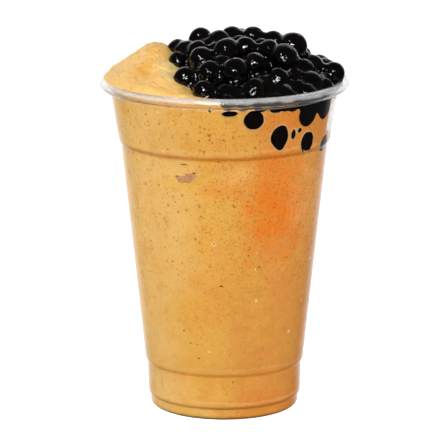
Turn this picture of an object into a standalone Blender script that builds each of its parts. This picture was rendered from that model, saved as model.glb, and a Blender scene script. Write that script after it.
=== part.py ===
"""Thai tea smoothie in a clear plastic cup, heaped with tapioca pearls.

Metres, +Z up. The origin is the centre of the standing ring, on the surface that the cup stands on.
-Y is the front, and the pearls lie on the right, at +X. Three solids: the cup, a thin turned wall with a
rolled lip; the smoothie, which fills it and mounds up over the lip; and the heap of pearls, a core with
the pearls that show fused on, which lies in a hollow of the smoothie.
"""

import math
import random

import bmesh
import bpy

MM = 0.001

# Cup
CUP_HEIGHT = 128.0 * MM
LIP_RADIUS = 47.5 * MM
WALL = 0.6 * MM
FLOOR = 3.2 * MM
STEPS = 36

# Rolled lip: an ellipse in section, from the neck over the top to a free edge under the lip
LIP_WIDTH = 2.2 * MM
LIP_RISE = 2.05 * MM
LIP_CENTRE_R = LIP_RADIUS - LIP_WIDTH
LIP_CENTRE_Z = CUP_HEIGHT - LIP_RISE
LIP_START, LIP_TOP, LIP_END = 195.0, 75.0, -75.0
LIP_STEP = 30.0

# Radius and height of the inner wall, from the floor and the standing ring up to the neck
FLOOR_EDGE = 22.2 * MM
DIP = (24.0 * MM, 2.6 * MM)
RING_INNER, RING_OUTER = 25.2 * MM, 26.7 * MM
FOOT = (27.9 * MM, 4.5 * MM)
BAND_LOW = (28.8 * MM, 5.4 * MM)
BAND_HIGH = (29.1 * MM, 17.4 * MM)
BODY_LOW = (29.9 * MM, 18.6 * MM)
BODY_HIGH = (39.0 * MM, 103.5 * MM)
SHOULDER = (39.85 * MM, 104.7 * MM)
COLLAR_MIDDLE = (41.2 * MM, 113.0 * MM)
COLLAR = (42.55 * MM, 122.0 * MM)
NECK = (43.0 * MM, 124.8 * MM)

# Smoothie
GAP = 0.3 * MM
PEAK = 12.4 * MM
PEAK_X, PEAK_Y = -25.8 * MM, 3.0 * MM
PEAK_LEFT, PEAK_RIGHT = 12.8 * MM, 14.5 * MM
PEAK_FRONT, PEAK_BACK = 29.0 * MM, 23.0 * MM
EDGE_ROUND = 0.9 * MM
EDGE_LOWEST = 0.06
RIGHT_DROP = 4.5 * MM
TOP_RINGS = 12

# Hollow between the smoothie and the wall, on the right, under the neck
HOLLOW_DEPTH = 2.2 * MM
HOLLOW_Z, HOLLOW_HALF = 114.0 * MM, 11.0 * MM
HOLLOW_ANGLE = 0.38

# Heap of pearls
HEAP_X, HEAP_Y = 6.0 * MM, 0.0
HEAP_LEFT, HEAP_RIGHT, HEAP_DEPTH = 45.0 * MM, 38.0 * MM, 42.0 * MM
HEAP_HEIGHT = 13.7 * MM
HEAP_POWER = 1.35
HEAP_REACH = 43.0 * MM
HEAP_EDGE_X, HEAP_EDGE_CURVE = -14.0 * MM, 0.005 / MM
PEARL_MIN, PEARL_MAX = 8.4 * MM, 10.4 * MM
PEARL_OVERLAP = 0.08
LOOSE_PEARLS = 29
PEARL_SEED = 11
SETTLE_ROUNDS = 60
CORE_X = 12.0 * MM
CORE_SINK = 1.6 * MM
CORE_INSET = 2.5 * MM
CORE_BASE = 116.0 * MM
CORE_RINGS, CORE_STEPS = 6, 24
BED_WALL_GAP, BED_LIFT = 0.05 * MM, 0.35 * MM

# Pearls that stand out of the heap: x, y, lift above the heap's dome and diameter, in millimetres
LEAD_PEARLS = (
    (-9.0, 7.0, 1.5, 9.5),
    (-2.0, 1.0, 0.0, 9.1),
    (1.0, -13.0, 0.0, 10.6),
    (3.0, 8.0, 1.0, 8.4),
    (11.0, 5.5, 0.5, 9.9),
    (8.0, -9.5, 0.0, 8.4),
    (18.5, 5.0, 1.0, 8.4),
    (17.0, -10.0, 0.0, 9.1),
    (26.0, 1.0, 3.0, 10.6),
    (-17.5, 1.0, 1.5, 8.0),
    (-17.5, -9.5, -0.9, 7.6),
    (-10.0, -8.0, 0.0, 8.6),
    (-8.5, -16.0, 0.0, 10.2),
    (-14.5, -25.0, -1.2, 9.5),
    (-5.5, -26.5, 0.0, 9.5),
    (-7.5, -36.0, -0.5, 8.7),
    (4.0, -28.0, 0.8, 11.0),
    (11.0, -36.0, -0.5, 8.7),
    (11.5, -21.5, 0.0, 8.8),
    (22.5, -15.0, 1.2, 11.2),
    (20.0, -28.0, 0.0, 8.8),
    (33.0, -6.0, 0.0, 9.3),
    (32.0, -20.5, -1.7, 9.9),
    (41.5, -8.0, 2.2, 8.6),
    (21.0, -33.0, -2.4, 8.2),
)


def wall_profile():
    """Radius and height of the cup's inner surface, from the floor's centre to the neck."""
    points = [(0.0, FLOOR), (FLOOR_EDGE, FLOOR), DIP, (RING_INNER, WALL)]
    corner = FOOT[0] - RING_OUTER
    for degrees in (0, 30, 60, 90):
        a = math.radians(degrees)
        points.append((RING_OUTER + corner * math.sin(a), WALL + corner * (1.0 - math.cos(a))))
    points += [FOOT, BAND_LOW, BAND_HIGH, BODY_LOW, BODY_HIGH]
    points += [SHOULDER, COLLAR_MIDDLE, COLLAR, NECK]
    return points


def lip_profile(last=LIP_END):
    """Radius and height along the lip, from the neck to the angle `last`."""
    points = []
    angle = LIP_START
    while angle >= last - 0.01:
        a = math.radians(angle)
        points.append((LIP_CENTRE_R + LIP_WIDTH * math.cos(a), LIP_CENTRE_Z + LIP_RISE * math.sin(a)))
        angle -= LIP_STEP
    return points


def inset(points, distance):
    """The profile moved by `distance` to its inner side, the side towards the drink."""
    moved = []
    for i, (r, z) in enumerate(points):
        before, after = points[max(i - 1, 0)], points[min(i + 1, len(points) - 1)]
        dr, dz = after[0] - before[0], after[1] - before[1]
        length = math.hypot(dr, dz)
        moved.append((max(r - distance * dz / length, 0.0), z + distance * dr / length))
    return moved


def new_object(name, bm, collection):
    mesh = bpy.data.meshes.new(name)
    bm.to_mesh(mesh)
    bm.free()
    obj = bpy.data.objects.new(name, mesh)
    collection.objects.link(obj)
    return obj


def material(name, colour, roughness, alpha=1.0):
    mat = bpy.data.materials.new(name)
    mat.use_nodes = True
    shader = mat.node_tree.nodes["Principled BSDF"]
    shader.inputs["Base Color"].default_value = (*colour, 1.0)
    shader.inputs["Roughness"].default_value = roughness
    shader.inputs["Metallic"].default_value = 0.0
    shader.inputs["Alpha"].default_value = alpha
    return mat


def shade(obj, mat, sharp_angle=40.0):
    obj.data.materials.clear()
    obj.data.materials.append(mat)
    obj.data.shade_smooth()
    obj.data.set_sharp_from_angle(angle=math.radians(sharp_angle))


def turned(name, profile, collection, closed=False):
    """A profile of (radius, height), open or closed, turned about Z."""
    bm = bmesh.new()
    verts = [bm.verts.new((r, 0.0, z)) for r, z in profile]
    following = verts[1:] + verts[:1] if closed else verts[1:]
    for a, b in zip(verts, following):
        bm.edges.new((a, b))
    obj = new_object(name, bm, collection)
    screw = obj.modifiers.new("turn", "SCREW")
    screw.axis = "Z"
    screw.angle = 2 * math.pi
    screw.steps = screw.render_steps = STEPS
    screw.use_merge_vertices = True
    screw.merge_threshold = 0.00001
    screw.use_normal_calculate = True
    return obj


def make_cup(collection):
    """The wall's inner surface, turned and thickened outwards."""
    cup = turned("cup", wall_profile() + lip_profile(), collection)
    shell = cup.modifiers.new("wall", "SOLIDIFY")
    shell.thickness = WALL
    shell.offset = -1.0
    shell.use_even_offset = True
    shell.use_rim = True
    return cup


def smoothstep(low, high, value):
    t = min(max((value - low) / (high - low), 0.0), 1.0)
    return t * t * (3 - 2 * t)


def edge_share(angle):
    """How far the smoothie reaches from the collar to the lip's top at an angle about Z: 1 on the left."""
    return EDGE_LOWEST + (1.0 - EDGE_LOWEST) * smoothstep(-0.35, 0.75, -math.cos(angle))


def along(points, share):
    """The point at a share of the way along a profile, by its point numbers."""
    place = share * (len(points) - 1)
    i = min(int(place), len(points) - 2)
    t = place - i
    (r0, z0), (r1, z1) = points[i], points[i + 1]
    return r0 + t * (r1 - r0), z0 + t * (z1 - z0)


def mound_height(x, y, edge_z, inward):
    """Height of the smoothie's top, `inward` from its edge at the height `edge_z`."""
    width = PEAK_LEFT if x < PEAK_X else PEAK_RIGHT
    depth = PEAK_FRONT if y < PEAK_Y else PEAK_BACK
    peak = PEAK * math.exp(-(((x - PEAK_X) / width) ** 2) - ((y - PEAK_Y) / depth) ** 2)
    free = CUP_HEIGHT + peak - RIGHT_DROP * smoothstep(-20 * MM, 30 * MM, x)
    rounded = 1.0 - math.exp(-inward / EDGE_ROUND)
    return edge_z + (free - edge_z) * rounded


def wall_point(r, z, angle):
    """The point at an angle about Z where the smoothie meets the wall, set in at the hollow."""
    across = max(1.0 - (math.remainder(angle, 2 * math.pi) / HOLLOW_ANGLE) ** 2, 0.0)
    upright = max(1.0 - ((z - HOLLOW_Z) / HOLLOW_HALF) ** 2, 0.0)
    r -= HOLLOW_DEPTH * across * upright
    return r * math.cos(angle), r * math.sin(angle), z


def smoothie_rings(gap, lift):
    """Rings of points from the floor up the wall, up to the edge and in across the mound."""
    angles = [2 * math.pi * k / STEPS for k in range(STEPS)]
    profile = inset(wall_profile() + lip_profile(LIP_TOP), gap)
    collar = wall_profile().index(COLLAR)
    rim = [(r, z + lift) for r, z in profile[collar:]]
    rings = []
    for r, z in profile[1:collar]:
        rings.append([wall_point(r, z, a) for a in angles])
    for step in range(len(rim)):
        share = step / (len(rim) - 1)
        rings.append([wall_point(*along(rim, edge_share(a) * share), a) for a in angles])
    edge = rings[-1]
    for step in range(1, TOP_RINGS):
        inner = 1.0 - (step / TOP_RINGS) ** 1.3
        ring = []
        for x0, y0, z0 in edge:
            x, y = x0 * inner, y0 * inner
            inward = math.hypot(x0, y0) * (1.0 - inner)
            ring.append((x, y, mound_height(x, y, z0 - lift, inward) + lift))
        rings.append(ring)
    centre_z = mound_height(0.0, 0.0, CUP_HEIGHT, LIP_RADIUS) + lift
    return (0.0, 0.0, profile[0][1]), rings, (0.0, 0.0, centre_z)


def loft(name, bottom, rings, top, collection):
    """A closed skin of triangles over rings of equal point count, with a point at each end."""
    bm = bmesh.new()
    low = bm.verts.new(bottom)
    loops = [[bm.verts.new(p) for p in ring] for ring in rings]
    high = bm.verts.new(top)
    count = len(loops[0])
    for k in range(count):
        n = (k + 1) % count
        bm.faces.new((low, loops[0][n], loops[0][k]))
        for a, b in zip(loops, loops[1:]):
            bm.faces.new((a[k], a[n], b[n]))
            bm.faces.new((a[k], b[n], b[k]))
        bm.faces.new((loops[-1][k], loops[-1][n], high))
    return new_object(name, bm, collection)


def make_smoothie(collection):
    return loft("smoothie", *smoothie_rings(GAP, 0.0), collection)


def heap_height(x, y):
    """Height of the centres of the heap's outer pearls."""
    width = HEAP_LEFT if x < HEAP_X else HEAP_RIGHT
    q = ((x - HEAP_X) / width) ** 2 + ((y - HEAP_Y) / HEAP_DEPTH) ** 2
    return CUP_HEIGHT + HEAP_HEIGHT * max(1.0 - q, 0.0) ** HEAP_POWER


def keep_in_heap(x, y, margin):
    """The place, moved back where it lies off the part of the mouth that the pearls cover."""
    x = max(x, HEAP_EDGE_X + HEAP_EDGE_CURVE * (y - PEAK_Y) ** 2)
    outside = max(math.hypot(x, y) / (HEAP_REACH - margin), 1.0)
    return x / outside, y / outside


class Pearl:
    """A pearl whose centre lies on the heap's dome, or `lift` above it."""

    def __init__(self, x, y, lift, diameter):
        self.x, self.y, self.lift, self.radius = x, y, lift, diameter / 2

    @property
    def centre(self):
        return self.x, self.y, heap_height(self.x, self.y) + self.lift

    def push_from(self, other):
        """Moves off another pearl in plan where they press into each other more than they may."""
        reach = (self.radius + other.radius) * (1.0 - PEARL_OVERLAP)
        apart = math.dist(self.centre, other.centre)
        if apart < reach:
            dx, dy = self.x - other.x, self.y - other.y
            push = 0.5 * (reach - apart) / max(math.hypot(dx, dy), 0.1 * MM)
            self.x += dx * push
            self.y += dy * push


def pack_pearls():
    """The heap's outer pearls: the leading ones, and loose ones that settle evenly between them."""
    draw = random.Random(PEARL_SEED)
    leads = [Pearl(x * MM, y * MM, lift * MM, size * MM) for x, y, lift, size in LEAD_PEARLS]
    loose = []
    for _ in range(LOOSE_PEARLS):
        x, y = draw.uniform(HEAP_EDGE_X, HEAP_REACH), draw.uniform(-0.5, 1.0) * HEAP_REACH
        loose.append(Pearl(x, y, draw.uniform(-2.5, -0.5) * MM, draw.uniform(PEARL_MIN, PEARL_MAX)))
    for _ in range(SETTLE_ROUNDS):
        for pearl in loose:
            for other in leads + loose:
                if other is not pearl:
                    pearl.push_from(other)
            pearl.x, pearl.y = keep_in_heap(pearl.x, pearl.y, pearl.radius)
    return leads + loose


def add_pearls(pearls, collection):
    """A few-sided ball for each pearl, all on one mesh."""
    bpy.ops.mesh.primitive_ico_sphere_add(subdivisions=2, radius=1.0)
    ball = bpy.context.object
    mesh = ball.data
    bpy.data.objects.remove(ball)
    for i, pearl in enumerate(pearls):
        obj = bpy.data.objects.new("pearl", mesh)
        obj.location = pearl.centre
        obj.rotation_euler = (i * 0.9, i * 1.7, 0.0)
        obj.scale = (pearl.radius,) * 3
        collection.objects.link(obj)


def make_core(collection):
    """The heap's bare core: a dome over a flat base, as wide as the pearls lie."""
    rings = []
    for step in range(CORE_RINGS):
        inner = 1.0 - step / CORE_RINGS
        ring = []
        for k in range(CORE_STEPS):
            a = 2 * math.pi * k / CORE_STEPS
            x, y = keep_in_heap(CORE_X + HEAP_REACH * math.cos(a), HEAP_REACH * math.sin(a), CORE_INSET)
            x, y = CORE_X + (x - CORE_X) * inner, y * inner
            ring.append((x, y, heap_height(x, y) - CORE_SINK))
        rings.append(ring)
    skirt = [(x, y, CORE_BASE) for x, y, _ in rings[0]]
    top = (CORE_X, 0.0, heap_height(CORE_X, 0.0) - CORE_SINK)
    return loft("core", (CORE_X, 0.0, CORE_BASE), [skirt, *rings], top, collection)


def boolean(obj, operation, cutters):
    """One applied Boolean of obj with a collection."""
    cut = obj.modifiers.new(operation, "BOOLEAN")
    cut.operation = operation
    cut.operand_type = "COLLECTION"
    cut.collection = cutters
    bpy.context.view_layer.update()
    graph = bpy.context.evaluated_depsgraph_get()
    mesh = bpy.data.meshes.new_from_object(obj.evaluated_get(graph))
    obj.modifiers.clear()
    obj.data = mesh
    for used in list(cutters.objects):
        bpy.data.objects.remove(used)


def keep_largest(obj):
    """Drops the loose scraps that a cut leaves."""
    bm = bmesh.new()
    bm.from_mesh(obj.data)
    unseen, islands = set(bm.verts), []
    while unseen:
        stack = [unseen.pop()]
        island = set(stack)
        while stack:
            for edge in stack.pop().link_edges:
                for v in edge.verts:
                    if v in unseen:
                        unseen.discard(v)
                        island.add(v)
                        stack.append(v)
        islands.append(island)
    largest = max(islands, key=len)
    bmesh.ops.delete(bm, geom=[v for v in bm.verts if v not in largest], context="VERTS")
    bmesh.ops.triangulate(bm, faces=bm.faces[:])
    bm.to_mesh(obj.data)
    bm.free()


def lip_guard(collection):
    """A ring a little larger than the collar, neck and lip, to keep the pearls off the cup."""
    inner_side = inset([COLLAR_MIDDLE, COLLAR, NECK, *lip_profile(0.0)], GAP)
    low, outer = COLLAR_MIDDLE[1], LIP_RADIUS + 2 * LIP_WIDTH
    turned("lip_guard", [*inner_side, (outer, LIP_CENTRE_Z), (outer, low)], collection, closed=True)


def make_heap(collection, cutters):
    """The core with the pearls fused on, trimmed to lie on the smoothie and clear of the lip."""
    heap = make_core(collection)
    heap.name = "boba_heap"
    add_pearls(pack_pearls(), cutters)
    boolean(heap, "UNION", cutters)
    loft("bed", *smoothie_rings(BED_WALL_GAP, BED_LIFT), cutters)
    lip_guard(cutters)
    boolean(heap, "DIFFERENCE", cutters)
    keep_largest(heap)
    return heap


def main():
    for obj in list(bpy.data.objects):
        bpy.data.objects.remove(obj)
    parts = bpy.data.collections.new("thai_tea_smoothie")
    cutters = bpy.data.collections.new("cutters")
    for collection in (parts, cutters):
        bpy.context.scene.collection.children.link(collection)

    shade(make_cup(parts), material("clear_plastic", (0.93, 0.93, 0.92), 0.08, 0.3))
    shade(make_smoothie(parts), material("thai_tea", (0.80, 0.42, 0.12), 0.5), 60.0)
    shade(make_heap(parts, cutters), material("tapioca", (0.012, 0.008, 0.006), 0.12), 60.0)


main()
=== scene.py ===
"""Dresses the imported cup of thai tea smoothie: clear rolled cup, mottled smoothie, glossy pearls."""
import math
import random

import bmesh
import bpy
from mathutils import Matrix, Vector, noise


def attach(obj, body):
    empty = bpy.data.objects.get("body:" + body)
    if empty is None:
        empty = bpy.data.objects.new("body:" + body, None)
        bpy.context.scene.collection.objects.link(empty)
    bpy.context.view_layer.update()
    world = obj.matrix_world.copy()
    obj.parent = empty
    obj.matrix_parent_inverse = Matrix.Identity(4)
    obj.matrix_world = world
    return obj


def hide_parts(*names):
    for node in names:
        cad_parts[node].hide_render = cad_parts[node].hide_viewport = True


MM = 0.001
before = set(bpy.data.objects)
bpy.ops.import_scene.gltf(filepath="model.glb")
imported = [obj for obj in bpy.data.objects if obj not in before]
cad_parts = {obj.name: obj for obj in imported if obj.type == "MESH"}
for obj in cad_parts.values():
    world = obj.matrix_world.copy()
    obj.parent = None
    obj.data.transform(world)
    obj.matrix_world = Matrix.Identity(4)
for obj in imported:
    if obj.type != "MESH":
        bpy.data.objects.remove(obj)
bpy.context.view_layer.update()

# Cup: the same sheet as the solid's, turned finer, with its lip rolled right round. A pair in brackets is
# a radius and a height on the inner surface, and the lip's angles are in degrees
CUP_HEIGHT = 128.0 * MM
LIP_RADIUS = 47.5 * MM
WALL = 0.6 * MM
FLOOR = 3.2 * MM
CUP_STEPS = 168
LIP_WIDTH, LIP_RISE = 2.2 * MM, 2.05 * MM
LIP_CENTRE_R, LIP_CENTRE_Z = LIP_RADIUS - LIP_WIDTH, CUP_HEIGHT - LIP_RISE
LIP_START, LIP_TOP, LIP_END = 195.0, 75.0, -150.0
LIP_STEP, EDGE_STEP = 7.5, 30.0
LIP_CURL_START, LIP_CURL_SHRINK = -60.0, 0.12
# Height of a thin whiter line in the plastic at the neck's corner: a painted highlight
NECK_HIGHLIGHT_Z = 123.2 * MM
FLOOR_EDGE, DIP = 22.2 * MM, (24.0 * MM, 2.6 * MM)
RING_INNER, RING_OUTER = 25.2 * MM, 26.7 * MM
FOOT = (27.9 * MM, 4.5 * MM)
BAND_LOW, BAND_HIGH = (28.8 * MM, 5.4 * MM), (29.1 * MM, 17.4 * MM)
BODY_LOW, BODY_HIGH = (29.9 * MM, 18.6 * MM), (39.0 * MM, 103.5 * MM)
SHOULDER = (39.85 * MM, 104.7 * MM)
COLLAR_MIDDLE = (41.2 * MM, 113.0 * MM)
COLLAR, NECK = (42.55 * MM, 122.0 * MM), (43.0 * MM, 124.8 * MM)
FOOT_TURNS = (0, 30, 60, 90)
CORNER_ROUND, CORNER_STEPS, CORNER_MOST = 0.7 * MM, 4, 0.45
MERGE = 0.001 * MM

# Smoothie: its skin reaches just into the cup's wall
INTO_WALL = 0.12 * MM
PEAK = 12.4 * MM
PEAK_X, PEAK_Y = -25.8 * MM, 3.0 * MM
PEAK_LEFT, PEAK_RIGHT = 12.8 * MM, 14.5 * MM
PEAK_FRONT, PEAK_BACK = 29.0 * MM, 23.0 * MM
EDGE_ROUND = 0.9 * MM
EDGE_LOWEST, EDGE_FADE = 0.06, (-0.35, 0.75)
RIGHT_DROP, DROP_FROM, DROP_TO = 4.5 * MM, -20 * MM, 30 * MM
TEA_STEPS, TEA_TOP_RINGS, TEA_RIM_RINGS = 324, 112, 12
TEA_RING_HEIGHT, TEA_RING_CROWD = 3.0 * MM, 1.3
DENT_X, DENT_Y, DENT_WIDE, DENT_LONG, DENT_DEPTH = -30.0 * MM, -21.0 * MM, 4.0 * MM, 5.0 * MM, 1.3 * MM
FOLD_START, FOLD_END = (-26.5 * MM, -17.5 * MM), (-19.5 * MM, -21.5 * MM)
FOLD_WIDTH, FOLD_DEPTH = 0.8 * MM, 0.7 * MM

# Empty pocket behind the wall at the right: depth, height of its middle, half its height, and half its
# turn in radians
HOLLOW_DEPTH, HOLLOW_Z, HOLLOW_HALF, HOLLOW_ANGLE = 2.2 * MM, 114.0 * MM, 11.0 * MM, 0.38

# Unevenness of the blended ice: size of its features, offset, and height in mm
SLUSH = (
    (8 * MM, (0, 0, 0), 0.9),
    (2.6 * MM, (9, 2, 5), 0.5),
    (1.1 * MM, (4, 7, 1), 0.36),
)

# Pearls: the solid's generator and seed, and a second layer under it
HEAP_X, HEAP_Y = 6.0 * MM, 0.0
HEAP_LEFT, HEAP_RIGHT, HEAP_DEPTH = 45.0 * MM, 38.0 * MM, 42.0 * MM
HEAP_HEIGHT, HEAP_POWER = 13.7 * MM, 1.35
HEAP_REACH = 43.0 * MM
HEAP_EDGE_X, HEAP_EDGE_CURVE = -14.0 * MM, 0.005 / MM
PEARL_MIN, PEARL_MAX = 8.4 * MM, 10.4 * MM
PEARL_OVERLAP = 0.08
LOOSE_PEARLS, PEARL_SEED = 29, 11
LOOSE_Y, LOOSE_LIFT = (-0.5, 1.0), (-2.5, -0.5)
SETTLE_ROUNDS, PUSH_SHARE, PUSH_NEAREST = 60, 0.5, 0.1 * MM
UNDER_PEARLS, UNDER_SEED = 52, 5
UNDER_Y, UNDER_LIFT, UNDER_VARIES = (-1.0, 1.0), -5.0 * MM, (-1.0, 1.5)
BALL_CUTS, BALL_STRETCH, BALL_NOISE_REACH = 3, (0.95, 1.04), 50.0
BALL_SWELL, BALL_SWELL_SCALE = 0.035, 1.1
CORE_X, CORE_SINK, CORE_INSET, CORE_BASE = 12.0 * MM, 4.2 * MM, 3.0 * MM, 119.0 * MM
CORE_RINGS, CORE_STEPS = 10, 48
SYRUP, SYRUP_TIGHT = 0.9 * MM, 0.74 * MM
PEARL_VOXEL, SOFTEN, SOFTEN_ROUNDS = 0.45 * MM, 0.5, 3
DIMPLE, DIMPLE_SIZE = 0.16 * MM, 2.6 * MM
FINE_DIMPLE, FINE_OFFSET = 0.4, Vector((5, 1, 8))
PRESSED = 0.10 * MM

# x, y, lift above the heap's dome and diameter, in millimetres, as in the solid
LEAD_PEARLS = (
    (-9.0, 7.0, 1.5, 9.5),
    (-2.0, 1.0, 0.0, 9.1),
    (1.0, -13.0, 0.0, 10.6),
    (3.0, 8.0, 1.0, 8.4),
    (11.0, 5.5, 0.5, 9.9),
    (8.0, -9.5, 0.0, 8.4),
    (18.5, 5.0, 1.0, 8.4),
    (17.0, -10.0, 0.0, 9.1),
    (26.0, 1.0, 3.0, 10.6),
    (-17.5, 1.0, 1.5, 8.0),
    (-17.5, -9.5, -0.9, 7.6),
    (-10.0, -8.0, 0.0, 8.6),
    (-8.5, -16.0, 0.0, 10.2),
    (-14.5, -25.0, -1.2, 9.5),
    (-5.5, -26.5, 0.0, 9.5),
    (-7.5, -36.0, -0.5, 8.7),
    (4.0, -28.0, 0.8, 11.0),
    (11.0, -36.0, -0.5, 8.7),
    (11.5, -21.5, 0.0, 8.8),
    (22.5, -15.0, 1.2, 11.2),
    (20.0, -28.0, 0.0, 8.8),
    (33.0, -6.0, 0.0, 9.3),
    (32.0, -20.5, -1.7, 9.9),
    (41.5, -8.0, 2.2, 8.6),
    (21.0, -33.0, -2.4, 8.2),
)

# Lower pearls that fill the front between the outer ones, in the same terms
FRONT_PEARLS = (
    (0.8, -37.0, -2.0, 8.6),
    (4.8, -38.0, -2.8, 8.2),
    (14.5, -30.0, -2.5, 8.8),
    (27.0, -27.0, -3.0, 8.6),
    (36.0, -15.0, -2.5, 8.4),
)

# Pearls that the cup's wall cuts flat: angle from the front in degrees, height of the centre, diameter
# and how far the centre lies inside the wall, in mm
EDGE_PEARLS = (
    (1.5, 126.0, 6.4, 1.6),
    (9.0, 125.9, 6.4, 1.6),
    (18.0, 125.6, 7.0, 1.6),
    (27.0, 125.1, 7.6, 1.6),
    (32.0, 125.2, 7.2, 1.6),
    (36.5, 124.9, 8.0, 1.6),
    (46.0, 123.4, 8.2, 2.2),
    (47.5, 119.6, 10.6, 2.0),
    (48.0, 126.0, 9.0, 2.0),
    (55.5, 124.6, 8.4, 2.2),
    (62.5, 120.6, 10.4, 2.2),
    (64.0, 126.5, 9.0, 2.2),
    (78.0, 125.5, 9.0, 2.2),
    (92.0, 125.5, 9.0, 2.4),
    (108.0, 125.5, 9.2, 2.4),
)

# Pearls pressed flat against the wall: angle from the front in degrees, height, width and height in mm
WALL_PEARLS = (
    (15.0, 119.1, 8.7, 8.1),
    (30.2, 111.6, 8.4, 10.6),
    (38.5, 112.2, 2.5, 4.6),
    (42.5, 113.4, 2.3, 2.3),
    (49.6, 108.2, 8.2, 8.8),
    (68.8, 105.2, 7.2, 7.4),
    (81.0, 106.5, 5.0, 5.0),
    (2.8, 121.9, 7.0, 2.6),
    (26.8, 122.2, 5.6, 1.8),
)
WALL_PEARL_GROWTH, WALL_PEARL_PROUD, WALL_PEARL_WOBBLE = 1.06, 0.10 * MM, 0.16
HALO_RIM, HALO_PROUD = 1.0, 0.05 * MM

# A lump pressed flat by the wall: how deep its back point lies, and how its domed front falls to the edge
LENS_DEPTH, LENS_BACK = 0.4, 0.1 * MM
LENS_FALL, LENS_POWER = 2.2, 6
LENS_WAVE, LENS_WAVE_UP = 1.2, 300
# Steps round and rings of a pearl, of a noted mark and of dust
PEARL_LENS, MARK_LENS, DUST_LENS = (36, 6), (20, 4), (8, 2)

# Places where the drink's colour gathers, and some rows of painted light and painted shade, as marked:
# centre and reach in mm, tone, strength
CLOUDS_AND_PAINTED_SHADING = (
    ((20, -33, 83), (18, 30, 25), "EE7E1C", 0.9),
    ((17, -33, 99), (13, 30, 10), "E4862A", 0.7),
    ((-1, -38, 92), (14, 30, 3.5), "E69038", 0.6),
    ((-16, -35, 93), (10, 30, 4), "EDB84C", 0.7),
    ((0, -33, 52), (20, 30, 20), "E39A42", 0.5),
    ((26, -30, 119), (18, 30, 10), "DC7A1E", 0.7),
    ((18, -30, 4), (30, 50, 11), "DC8228", 0.65),
    ((33, -20, 85), (10, 30, 24), "F4B064", 0.75),
    # Pale at the left edge: painted light that lifts the edge's shade
    ((-34, -4, 52), (10, 30, 50), "FDD084", 0.8),
    # Pale at the right edge: painted light that lifts the edge's shade
    ((36, -4, 62), (9, 30, 45), "F2B468", 0.6),
    ((-18, -35, 112), (14, 30, 14), "DA9C44", 0.4),
    ((5, -38, 98), (10, 30, 6), "F6BC6C", 0.5),
    ((18, -26, 32), (12, 30, 12), "D8883A", 0.4),
    ((-31, -22, 82), (7, 30, 24), "F6CC88", 0.4),
    ((-20, -22, 13), (10, 30, 10), "F4CA8C", 0.4),
    ((0, -30, 18), (28, 30, 12), "DA963C", 0.35),
    # Darker, deeper orange in the dent: painted shade
    ((-29.5, -19, 134.7), (7, 9, 6), "DE9A2C", 0.8),
    # A small darker patch near the peak: painted shade of a faint dent that is not shaped
    ((-25, -5, 139.5), (6, 8, 3), "E2A23C", 0.35),
    # Cream on the slope beside the pearls: painted light over its shade
    ((-20.5, -19, 133.5), (7, 11, 9), "FFE09A", 0.85),
)

# Painted light and shade at the cup's steps: a painted shade line at the shoulder, painted light over the
# shade under the ring's and the base's ledges, and a painted highlight line above each step: height and
# reach in mm, tone, strength
STEP_SHADE_LINES = (
    (103.9, 1.5, "E06A00", 0.40),
    (106.3, 1.0, "F4C078", 0.30),
    (18.0, 1.5, "FFA838", 0.35),
    (20.3, 0.9, "F6C27C", 0.20),
    (4.7, 1.4, "E8A450", 0.25),
    (6.8, 0.9, "F6C27C", 0.30),
)

# Specks of tea leaf, bubbles and a flat void against the wall: angle, height, width and height in mm
NOTED_SPECKS = (
    (-31.3, 107.0, 0.8, 0.7), (-13.2, 111.2, 1.1, 0.9), (-7.8, 113.2, 0.8, 0.7), (-2.0, 54.2, 1.7, 0.9),
    (-6.2, 71.0, 0.9, 0.9), (14.8, 66.0, 0.8, 0.8), (22.2, 61.2, 1.0, 0.8), (-23.8, 30.8, 0.9, 0.8),
    (-18.2, 25.0, 0.9, 0.8), (6.5, 15.5, 1.0, 0.7), (-22.8, 101.5, 3.6, 0.7), (6.0, 85.5, 1.6, 0.5),
    (-8.5, 113.8, 0.7, 0.6), (-28.5, 35.5, 0.9, 0.8), (-17.0, 98.3, 1.6, 0.8), (-27.0, 96.6, 1.1, 0.7),
)
NOTED_BUBBLES = (
    (-35.2, 121.0, 1.5, 1.3), (-34.5, 106.0, 1.6, 1.2), (19.5, 60.5, 1.1, 1.1), (21.2, 47.8, 1.5, 1.7),
    (70.0, 59.8, 3.2, 1.8), (50.3, 33.2, 1.9, 1.7), (-10.8, 27.8, 1.8, 1.4), (-6.2, 70.8, 2.0, 2.0),
    (63.0, 44.0, 1.2, 0.9),
)
VOID_PATCH = ((-22.8, 95.6, 9.0, 3.9), (-18.8, 97.0, 4.6, 2.8), (-26.0, 96.2, 4.0, 1.8))
# How proud each kind of mark stands and how uneven its edge is
LEAF_STAND, BUBBLE_STAND = (0.08 * MM, 0.5), (0.05 * MM, 0.3)
VOID_STAND, DUST_STAND = (0.04 * MM, 0.6), (0.05 * MM, 0.6)
# Scattered dust and bubbles: counts, smallest and largest in mm, lowest, highest and commonest height
SPECK_COUNT, BUBBLE_COUNT, SPECK_SEED = 230, 18, 23
SPECK_SIZES, BUBBLE_SIZES, SIZE_POWER = (0.25, 0.85), (0.5, 1.0), 3
DUST_HEIGHTS, DUST_STRETCH = (8, 121, 92), (1.0, 1.7)

# In the looks below, a texture is the size of its features, detail, roughness and offset, and a fade is the
# lowest and highest value in, and what these become

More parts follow.
